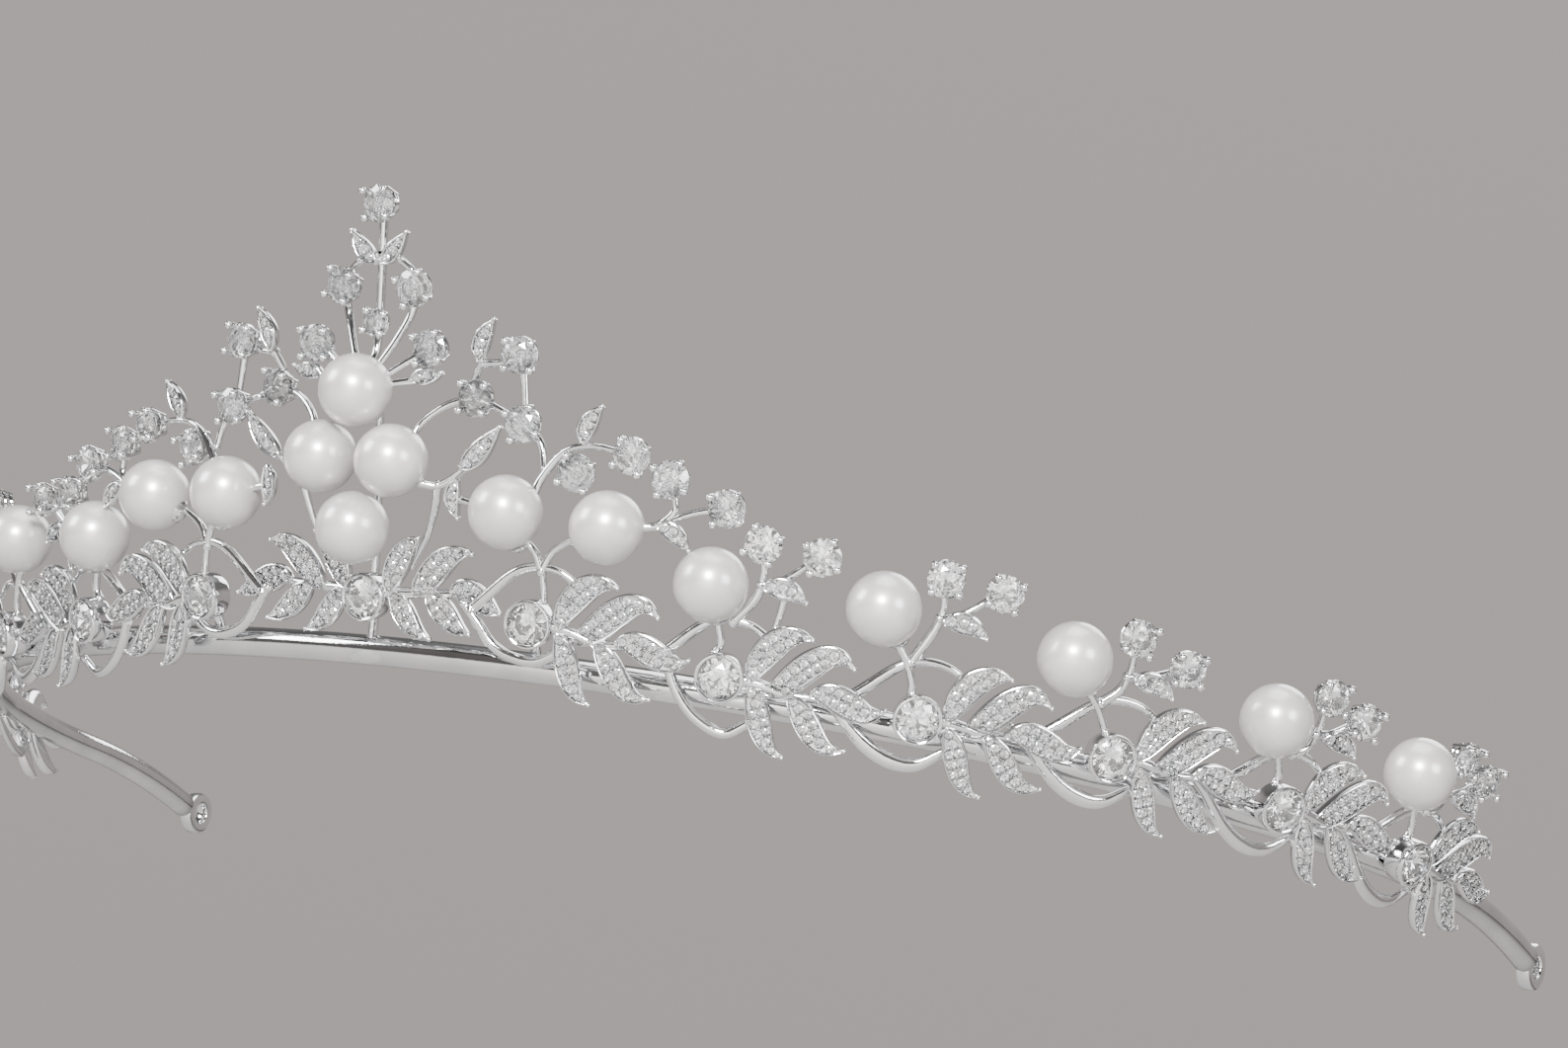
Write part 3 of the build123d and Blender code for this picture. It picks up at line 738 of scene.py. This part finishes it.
SCROLL_RADII = (0.30, 0.42, 0.62, 0.66, 0.55, 0.36)
FRONT_SCROLL_RADII = (0.40, 0.46, 0.48, 0.42)
ARCH_RADII = (0.46, 0.48, 0.44, 0.36, 0.32, 0.30)
SPRAY_STEM_RADII = (0.55, 0.32)
POST_RADII = (0.45, 0.45)
PEARL_STEM_RADII = (0.34, 0.30)
TWIG_RADII = (0.46, 0.42, 0.30, 0.27)
STRUT_RADII = (0.30, 0.30)
LOOSE_WIRE_RADII = (0.38, 0.30, 0.27)
SPIRE_WIRE_RADII = (0.34, 0.28)
CENTRE_WIRE_RADII = (0.36, 0.36)
FRONT_SCROLLS = {
    1: ((-6.2, 0.8), (-4.8, -0.8), (-3.6, -2.2), (-1.8, -3.0), (0.3, -3.1), (2.4, -2.0)),
    2: ((-4.8, 1.2), (-4.3, -0.3), (-3.3, -2.1), (-1.7, -3.7), (0.7, -4.6), (2.7, -3.4)),
}
TWIG = ((-0.2, 6.8), (0.2, 8.6), (0.0, 10.4))
TWIG_ROOTS = (None, None, (0.3, 4.4), (-1.4, 4.1), (-1.8, 3.8), (-0.2, 4.4), (0.1, 4.4))
TWIG_FORK = (0.1, 8.0)
TWIG_STONE = (-0.1, 11.3)
BRANCH_STONES = (None, None, (4.4, 11.1), (4.4, 11.1), (4.4, 9.9), (3.7, 10.3), (3.7, 10.3))
TWIG_LEAF = (((0.4, 7.9), (1.4, 8.4), (2.7, 8.2), (3.8, 7.3)), 1.8)
LEAF_STRUT = ((3.9, 6.8), (3.8, 5.7), (3.6, 4.4))

PEARL_PLACES = (None, (-2.7, 8.6), (-1.7, 7.1), (-4.2, 8.0), (-4.9, 6.9), (-3.1, 6.6), (-3.3, 7.0))
TWIG_MOVES = (None, None, (1.9, -0.4), (0.0, 0.0), (-0.4, -1.6), (1.1, -1.6), (1.4, -1.8))
SPRAY_TURNS = (0.0, -7.0, -3.5, 0.0, 0.0, 0.0, 0.0)

SECOND_PEARL = (21.2, 12.35, 0.0)
SECOND_PEARL_ROOT = (16.7, 9.6, -0.9)
TALL_STONES = (
    (12.6, 25.0, -2.0),
    (9.1, 21.2, -2.0),
    (13.4, 19.6, -1.4),
    (18.0, 16.2, -1.3),
    (22.4, 18.2, -0.6),
)
TALL_LEAVES = (
    (((9.5, 24.2), (9.2, 25.4), (9.8, 26.6), (10.5, 27.7)), 1.5, -2.0),
    (((8.4, 15.6), (9.4, 16.1), (10.4, 17.6), (11.6, 19.2)), 1.7, -1.5),
    (((18.5, 18.7), (18.5, 19.8), (19.0, 20.8), (19.8, 21.8)), 1.5, -1.0),
    (((8.8, 14.8), (8.3, 14.0), (8.4, 12.6), (9.0, 11.7)), 1.3, -0.2),
)
TALL_WIRES = (
    ((9.1, 21.4, -2.6), (8.8, 22.6, -2.6), (9.5, 24.3, -2.3)),
    ((9.5, 24.0, -2.5), (10.9, 24.2, -2.6), (12.4, 24.8, -2.7)),
    ((9.1, 21.2, -2.6), (13.4, 19.6, -2.2)),
    ((12.6, 25.0, -2.8), (13.4, 19.6, -2.2)),
    ((13.4, 19.6, -2.2), (14.8, 18.0, -2.0), (15.3, 16.2, -1.6)),
    ((9.1, 21.2, -2.6), (6.8, 20.5, -2.2), (5.0, 19.0, -1.4), (4.4, 17.6, -0.6)),
    ((14.8, 13.9, -0.7), (15.4, 15.6, -1.1), (17.0, 17.8, -1.4), (19.2, 18.5, -1.4), (22.0, 18.2, -1.4)),
    ((16.4, 17.2, -1.5), (18.0, 16.2, -2.0)),
    ((4.8, 14.2, -0.8), (6.4, 14.0, -1.5), (8.0, 15.0, -1.8), (9.4, 16.3, -1.8)),
    ((6.4, 14.0, -1.6), (6.0, 12.0, -1.9), (5.2, 9.6, -2.1), (3.9, 7.2, -2.2)),
    ((16.0, 8.1, -0.7), (15.4, 9.6, -0.6), (14.4, 10.6, -0.5)),
    ((16.0, 8.2, -0.7), (16.8, 9.8, -0.8), (18.4, 11.0, -0.7), (20.0, 11.8, -0.4)),
    ((16.4, 5.4, -0.6), (16.3, 6.8, -0.7), (16.0, 8.4, -0.7)),
    ((8.5, 13.3, -0.4), (11.0, 12.9, 0.0)),
)
LINK_STONES = ((25.6, 16.8, -0.4), (30.1, 15.2, -0.2))
LINK_LEAVES = ((((25.0, 13.1), (26.0, 13.3), (27.0, 12.3), (27.7, 11.5)), 1.5, 0.0),)
LINK_WIRES = (
    ((23.4, 12.7, -0.5), (25.0, 13.0, -0.7), (27.4, 14.3, -0.8), (29.8, 15.1, -0.9)),
    ((25.2, 13.1, -0.7), (26.1, 14.4, -0.8), (25.7, 16.5, -1.1)),
)

CENTRE_PEARLS = ((0.0, 21.4, 0.2), (3.2, 15.9, 0.2), (-3.2, 15.9, 0.2), (0.0, 10.3, 0.6))
CENTRE_BAR_LEVEL = -3.3
SPIRE_STONES = (
    (0.0, 36.3, -3.0),
    (3.2, 29.6, -2.8),
    (-3.2, 29.6, -2.8),
    (5.1, 24.9, -2.0),
    (-5.1, 24.9, -2.0),
)
SPIRE_SMALL_STONE = (0.0, 26.7, -2.6)
SPIRE_LEAVES = (
    (((0.2, 31.6), (1.0, 31.9), (1.6, 33.0), (2.4, 34.1)), 1.4, -3.2),
    (((4.0, 22.2), (4.8, 22.9), (5.8, 22.6), (6.6, 23.1)), 1.4, -1.4),
)
SPIRE_SIDE_WIRES = (
    ((0.0, 32.2, -3.6), (1.4, 31.9, -3.6), (2.6, 31.0, -3.6), (3.2, 29.8, -3.6)),
    ((3.2, 29.4, -3.5), (2.8, 27.4, -3.2), (1.9, 25.2, -2.4), (1.0, 23.4, -1.6)),
    ((5.1, 24.9, -2.8), (3.4, 23.8, -2.0), (1.8, 22.6, -1.2)),
    ((4.6, 22.4, -1.8), (1.6, 21.8, -0.8)),
)
CENTRE_WIRES = (
    ((0.0, 22.8, -1.6), (0.0, 24.4, -2.8), (0.0, 26.7, -3.2), (0.0, 31.5, -3.6), (0.0, 36.2, -3.9)),
    ((0.0, 22.2, CENTRE_BAR_LEVEL), (0.0, 16.0, CENTRE_BAR_LEVEL), (0.0, 10.3, -3.0), (0.0, 6.0, -2.7)),
    ((3.2, 15.9, CENTRE_BAR_LEVEL), (0.0, 15.9, CENTRE_BAR_LEVEL), (-3.2, 15.9, CENTRE_BAR_LEVEL)),
)


def bezel_place(station):
    """Where a station's bezel sits. The centre one stands a little behind the pearls."""
    return station * STATION_PITCH, BEZEL_RISES[station], CENTRE_SETBACK if station == 0 else 0.0


def turned(places, degrees):
    """The same places, turned about the pattern's own zero."""
    turn = math.radians(degrees)
    across, up = math.cos(turn), math.sin(turn)
    return [(x * across - y * up, x * up + y * across) for x, y in places]


def flipped(places, side):
    """The places on the right (side 1) or mirrored on the left (side -1)."""
    return [(side * place[0], *place[1:]) for place in places]


class Station:
    """The shells that one station's pieces are collected in."""

    def __init__(self):
        self.leaves = Shell()
        self.settings = Shell()
        self.stones = Shell()
        self.frame = Shell()

    def pieces(self, name):
        """Make the four pieces."""
        piece(self.leaves, f"leaves_{name}", "pave_metal")
        piece(self.settings, f"settings_{name}", "setting_metal")
        piece(self.stones, f"stones_{name}", "stones", sharp=4.0)
        piece(self.frame, f"frame_{name}", "frame_metal")


def twig_branch(station):
    """The side branch of a station's twig, from the fork to just behind its stone."""
    s, h = BRANCH_STONES[station]
    fork_s, fork_h = TWIG_FORK
    middle = [
        (fork_s + share * (s - fork_s), fork_h + lift * (h - fork_h))
        for share, lift in ((0.27, 0.12), (0.6, 0.48))
    ]
    return [TWIG_FORK, *middle, (s - 0.5, h - 0.3)]


def spray(made, station, side):
    """One spray of five leaves on its stem."""
    s, h, out = bezel_place(station)
    leaves, stem = (CENTRE_SPRAY_LEAVES, CENTRE_SPRAY_STEM) if station == 0 else (SPRAY_LEAVES, SPRAY_STEM)
    turn = SPRAY_TURNS[station]
    for spine, width, lift in leaves:
        places = [(s + x, h + y) for x, y in turned(spine, turn)]
        leaf(made.leaves, made.stones, flipped(places, side), width, out, lift)
    places = [(s + x, h + y, out - 0.15) for x, y in turned(stem, turn)]
    tube(made.leaves, curve_through(flipped(places, side), 8), SPRAY_STEM_RADII)


def side_station(station, side, nacre):
    """One side station, on the right (side 1) or the left (side -1)."""
    made = Station()
    s, h, out = bezel_place(station)
    bezel(made.settings, made.stones, (side * s, h, out))
    spray(made, station, side)

    def local(places, level):
        return flipped([(s + x, h + y, level) for x, y in places], side)

    if station in FRONT_SCROLLS:
        wire(made.frame, local(FRONT_SCROLLS[station], WIRE_LEVEL), FRONT_SCROLL_RADII, 0.9)
    else:
        wire(made.frame, local(SCROLL, WIRE_LEVEL), SCROLL_RADII, 0.6)
    wire(made.frame, local(ARCH, WIRE_LEVEL), ARCH_RADII, 0.8)
    wire(made.frame, flipped([(s, h - 1.0, -0.9), (s, 0.4, -1.9)], side), POST_RADII)
    along, up = PEARL_PLACES[station]
    pearl_here = (side * (s + along), h + up, out)
    root = (side * (s + 0.33 * along), h + 0.5 * up, -0.9)
    pearl(nacre, made.settings, pearl_here, root)
    if station == 1:
        pearl(nacre, made.settings, *flipped([SECOND_PEARL, SECOND_PEARL_ROOT], side))
        stones, leaves, wires = TALL_STONES, TALL_LEAVES, TALL_WIRES
    else:
        stem = [(-0.8, 1.7), (0.25 * along, 0.36 * up), (0.45 * along, 0.55 * up), (0.8 * along, 0.78 * up)]
        wire(made.frame, local(stem, WIRE_LEVEL + 0.2), PEARL_STEM_RADII)
        move_s, move_h = TWIG_MOVES[station]

        def on_twig(places, *level):
            return [(s + move_s + x, h + move_h + y, *level) for x, y in places]

        stones = on_twig((TWIG_STONE, BRANCH_STONES[station]), out)
        spine, width = TWIG_LEAF
        leaves = [(on_twig(spine), width, 0.0)]
        wires = [on_twig(twig_branch(station), WIRE_LEVEL)]
        root_s, root_h = TWIG_ROOTS[station]
        twig = [(s + root_s, h + root_h, WIRE_LEVEL), *on_twig(TWIG, WIRE_LEVEL)]
        wire(made.frame, flipped(twig, side), TWIG_RADII)
        if station == 2:
            wire(made.frame, local(LEAF_STRUT, WIRE_LEVEL), STRUT_RADII)
            stones += LINK_STONES
            leaves += LINK_LEAVES
            wires += LINK_WIRES
    for place in stones:
        claw_setting(made.settings, made.stones, (side * place[0], *place[1:]))
    for spine, width, level in leaves:
        leaf(made.leaves, made.stones, flipped(spine, side), width, level, steps=22)
    for places in wires:
        wire(made.frame, flipped(places, side), LOOSE_WIRE_RADII)
    made.pieces(f"{station}_right" if side > 0 else f"{station}_left")


def centre_station():
    """The centre bezel, its two sprays, the four pearls and the spire."""
    made = Station()
    nacre = Shell()
    s, h, out = bezel_place(0)
    bezel(made.settings, made.stones, (s, h, out))
    wire(made.frame, [(s, h - 1.0, out - 0.9), (s, 0.4, -2.2)], POST_RADII)
    for side in (1, -1):
        spray(made, 0, side)
        for spine, width, level in SPIRE_LEAVES:
            leaf(made.leaves, made.stones, flipped(spine, side), width, level, steps=22)
        for places in SPIRE_SIDE_WIRES:
            wire(made.frame, flipped(places, side), SPIRE_WIRE_RADII)
    for places in CENTRE_WIRES:
        wire(made.frame, places, CENTRE_WIRE_RADII)
    for place in CENTRE_PEARLS:
        pearl(nacre, made.settings, place, (place[0], place[1], CENTRE_BAR_LEVEL))
    for place in SPIRE_STONES:
        claw_setting(made.settings, made.stones, place)
    claw_setting(made.settings, made.stones, SPIRE_SMALL_STONE, SMALL_STONE_RADIUS)
    made.pieces("centre")
    piece(nacre, "pearls_centre", "pearls")


def band_and_eyes():
    """The round band wire and the eye brazed to each end of it."""
    shell = Shell()
    level = BAND_SETBACK * math.sin(CROWN_LEAN)
    inset = BAND_SETBACK * math.cos(CROWN_LEAN)
    rings = []
    for i in range(BAND_STEPS + 1):
        s = -BAND_REACH + 2 * BAND_REACH * i / BAND_STEPS
        foot, outward = foot_and_outward(math.copysign(min(abs(s), BAND_BEND_REACH), s))
        tail = max(0.0, abs(s) - BAND_BEND_REACH)
        along = Vector((-outward.y, outward.x, 0.0)) * math.copysign(tail, s)
        drop = BAND_END_DROP * (tail / (BAND_REACH - BAND_BEND_REACH)) ** 2
        middle = foot - outward * inset + along + Vector((0, 0, level - drop))
        ring = []
        for k in range(BAND_SIDES):
            turn = math.tau * k / BAND_SIDES
            lift = Vector((0, 0, BAND_RADIUS * math.sin(turn)))
            ring.append((middle + outward * (BAND_RADIUS * math.cos(turn)) + lift) * MM)
        rings.append(ring)
    shell.rings(rings)
    piece(shell, "band_wire", "band_metal")
    for side, name in ((1, "right"), (-1, "left")):
        eye = Shell()
        low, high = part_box(f"end_eye_{name}")
        _, outward = foot_and_outward(side * BAND_BEND_REACH)
        middle = (low + high) / 2
        turn = outward.to_track_quat("Z", "Y").to_matrix().to_4x4()
        place = Matrix.Translation(middle) @ turn @ Matrix.Scale(MM, 4)
        lower = ((1.0, -0.50), (1.08, -0.63), (1.25, -0.68), (1.8, -0.68), (2.0, -0.60), (2.1, -0.40))
        upper = [(radius, -height) for radius, height in reversed(lower)]
        lathe(eye, [*lower, *upper], place, 48)
        piece(eye, f"end_eye_{name}", "band_metal")


random.seed(7)
centre_station()
for side, name in ((1, "right"), (-1, "left")):
    nacre = Shell()
    for station in range(1, STATIONS + 1):
        side_station(station, side, nacre)
    piece(nacre, f"pearls_{name}", "pearls")
band_and_eyes()

# ---------------------------------------------------------------- the studio

FLOOR_LEVEL = -0.125
FLOOR_HALF_WIDTH = 3.0

# The room's colour from straight down (0) to straight up (1)
ROOM_STOPS = (
    (0.48, (0.44, 0.405, 0.39)),
    (0.70, (0.48, 0.445, 0.43)),
    (0.80, (0.18, 0.175, 0.17)),
    (0.92, (0.18, 0.18, 0.18)),
    (0.98, (0.70, 0.70, 0.70)),
)
ROOM_SHADE_IN_FRONT = 0.36

# Each lamp's name, place, width, power and colour
LAMP_AIM = (0.02, -0.05, 0.01)
LAMPS = (
    ("key", (0.26, -0.76, 0.20), 0.20, 24.0, (1.0, 0.99, 0.97)),
    ("left_box", (-0.55, -0.50, 0.30), 0.30, 5.0, (0.97, 0.99, 1.0)),
    ("right_box", (0.75, -0.30, 0.20), 0.30, 4.5, (0.98, 0.99, 1.0)),
    ("top_box", (0.0, -0.25, 1.30), 0.90, 10.0, (1.0, 1.0, 1.0)),
    ("back_box", (0.0, 0.45, 0.50), 0.35, 2.0, (1.0, 1.0, 1.0)),
)

CAMERA_AZIMUTH = math.radians(29.5)
CAMERA_ELEVATION = math.radians(-12.4)
CAMERA_ROLL = math.radians(11.0)
CAMERA_DISTANCE = 0.3457
CAMERA_AIM = Vector((36.4, -64.3, 13.5)) * MM


def studio_floor():
    """A plain pale floor, well below the tiara, because the camera looks up at it."""
    mesh = bpy.data.meshes.new("floor")
    half = FLOOR_HALF_WIDTH
    corners = [(x, y, FLOOR_LEVEL) for x, y in ((-half, -half), (half, -half), (half, half), (-half, half))]
    mesh.from_pydata(corners, [], [(0, 1, 2, 3)])
    floor = bpy.data.objects.new("floor", mesh)
    bpy.context.scene.collection.objects.link(floor)
    material, tree, shader = new_material("pale_floor", Roughness=0.7)
    cloud = add_noise(tree, 6.0)
    tint = add_ramp(tree, cloud.outputs["Fac"], ((0.3, (0.34, 0.33, 0.32)), (0.7, (0.37, 0.36, 0.35))))
    tree.links.new(tint.outputs["Color"], shader.inputs["Base Color"])
    mesh.materials.append(material)


def area_light(name, place, size, power, colour):
    """A soft square lamp."""
    lamp = bpy.data.lights.new(name, "AREA")
    lamp.size = size
    lamp.energy = power
    lamp.color = colour
    made = bpy.data.objects.new(name, lamp)
    made.location = place
    made.rotation_mode = "QUATERNION"
    made.rotation_quaternion = (Vector(LAMP_AIM) - Vector(place)).to_track_quat("-Z", "Y")
    bpy.context.scene.collection.objects.link(made)


def studio_light():
    """A key from the front, a soft box on each side, one overhead and one behind, in a pale room."""
    world = bpy.data.worlds.new("studio")
    world.use_nodes = True
    tree = world.node_tree
    place = tree.nodes.new("ShaderNodeTexCoord")
    axes = tree.nodes.new("ShaderNodeSeparateXYZ")
    tree.links.new(place.outputs["Generated"], axes.inputs["Vector"])
    height = add_range(tree, axes.outputs["Z"], 0.0, 1.0, -1.0)
    room = add_ramp(tree, height, ROOM_STOPS)
    depth = add_range(tree, axes.outputs["Y"], ROOM_SHADE_IN_FRONT, 1.0, -0.5, 0.3)
    shade = tree.nodes.new("ShaderNodeVectorMath")
    shade.operation = "SCALE"
    tree.links.new(room.outputs["Color"], shade.inputs[0])
    tree.links.new(depth, shade.inputs["Scale"])
    tree.links.new(shade.outputs["Vector"], tree.nodes["Background"].inputs["Color"])
    bpy.context.scene.world = world
    for lamp in LAMPS:
        area_light(*lamp)


def studio_camera():
    """The photograph's view: close, from the front right and a little below, with the head tilted."""
    right = math.sin(CAMERA_AZIMUTH) * math.cos(CAMERA_ELEVATION)
    front = math.cos(CAMERA_AZIMUTH) * math.cos(CAMERA_ELEVATION)
    back = Vector((right, -front, math.sin(CAMERA_ELEVATION)))
    lens = bpy.data.cameras.new("camera")
    lens.sensor_width = 36.0
    lens.lens = 102.0
    lens.clip_start = 0.01
    lens.clip_end = 20.0
    camera = bpy.data.objects.new("camera", lens)
    camera.location = CAMERA_AIM + back * CAMERA_DISTANCE
    camera.rotation_mode = "QUATERNION"
    level = (-back).to_track_quat("-Z", "Y")
    camera.rotation_quaternion = level @ Matrix.Rotation(CAMERA_ROLL, 3, "Z").to_quaternion()
    bpy.context.scene.collection.objects.link(camera)
    bpy.context.scene.camera = camera


studio_floor()
studio_light()
studio_camera()
